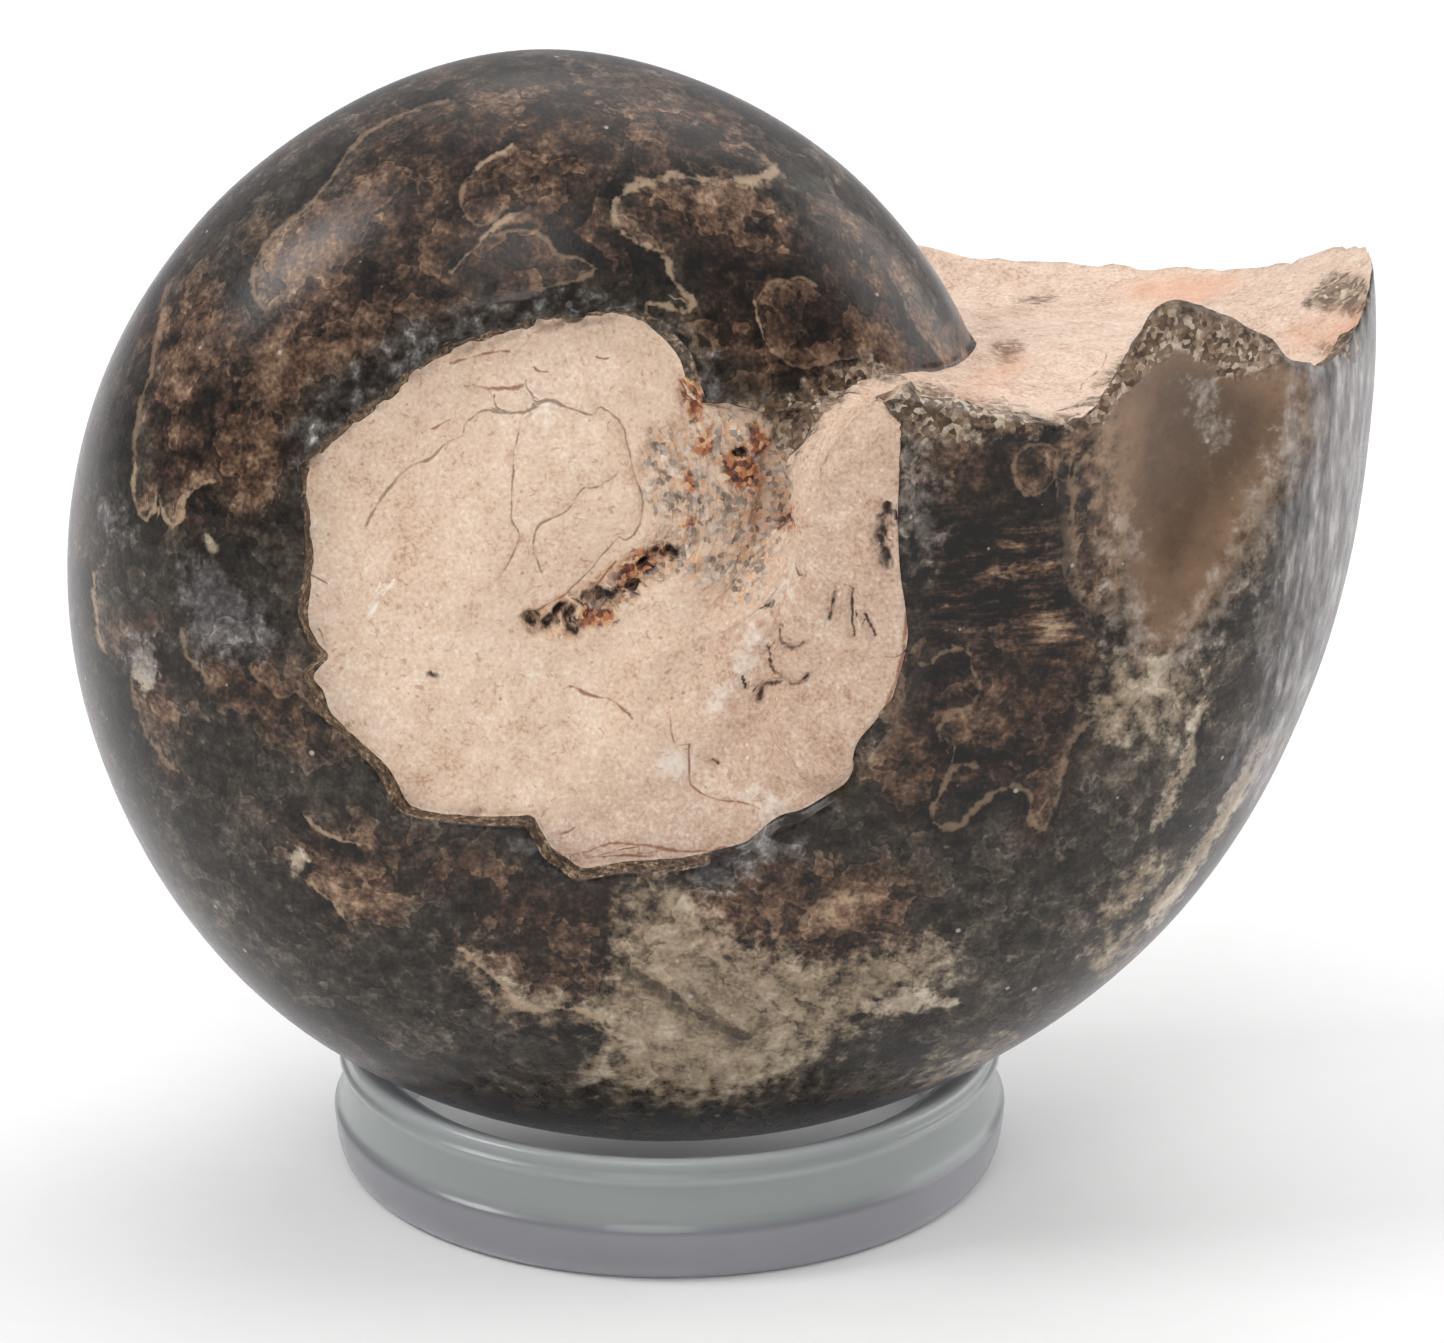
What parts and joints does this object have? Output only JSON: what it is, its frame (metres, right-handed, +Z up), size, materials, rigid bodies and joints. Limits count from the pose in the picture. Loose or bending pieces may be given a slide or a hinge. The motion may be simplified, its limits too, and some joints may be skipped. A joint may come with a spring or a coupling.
{
  "type": "vascoceras ammonite fossil",
  "caption": "Polished coiled ammonite fossil with chalky limestone in its navels and broken mouth, standing on its keel in a clear ring stand.",
  "frame": {"origin": "on the table, under the middle of the whole object's box", "axes": "+Z up, +X towards the mouth of the shell, -Y towards the side that is on show; the coil's axis is nearly along Y"},
  "size_m": [0.0948, 0.0534, 0.0853],
  "materials": {
    "fossil_stone": "polished dark calcite shell, matt cream limestone in the navels and the mouth",
    "clear_ring": "clear acrylic, satin"
  },
  "bodies": {
    "root": {"ammonite": "fossil_stone", "ring_stand": "clear_ring"}
  },
  "joints": []
}
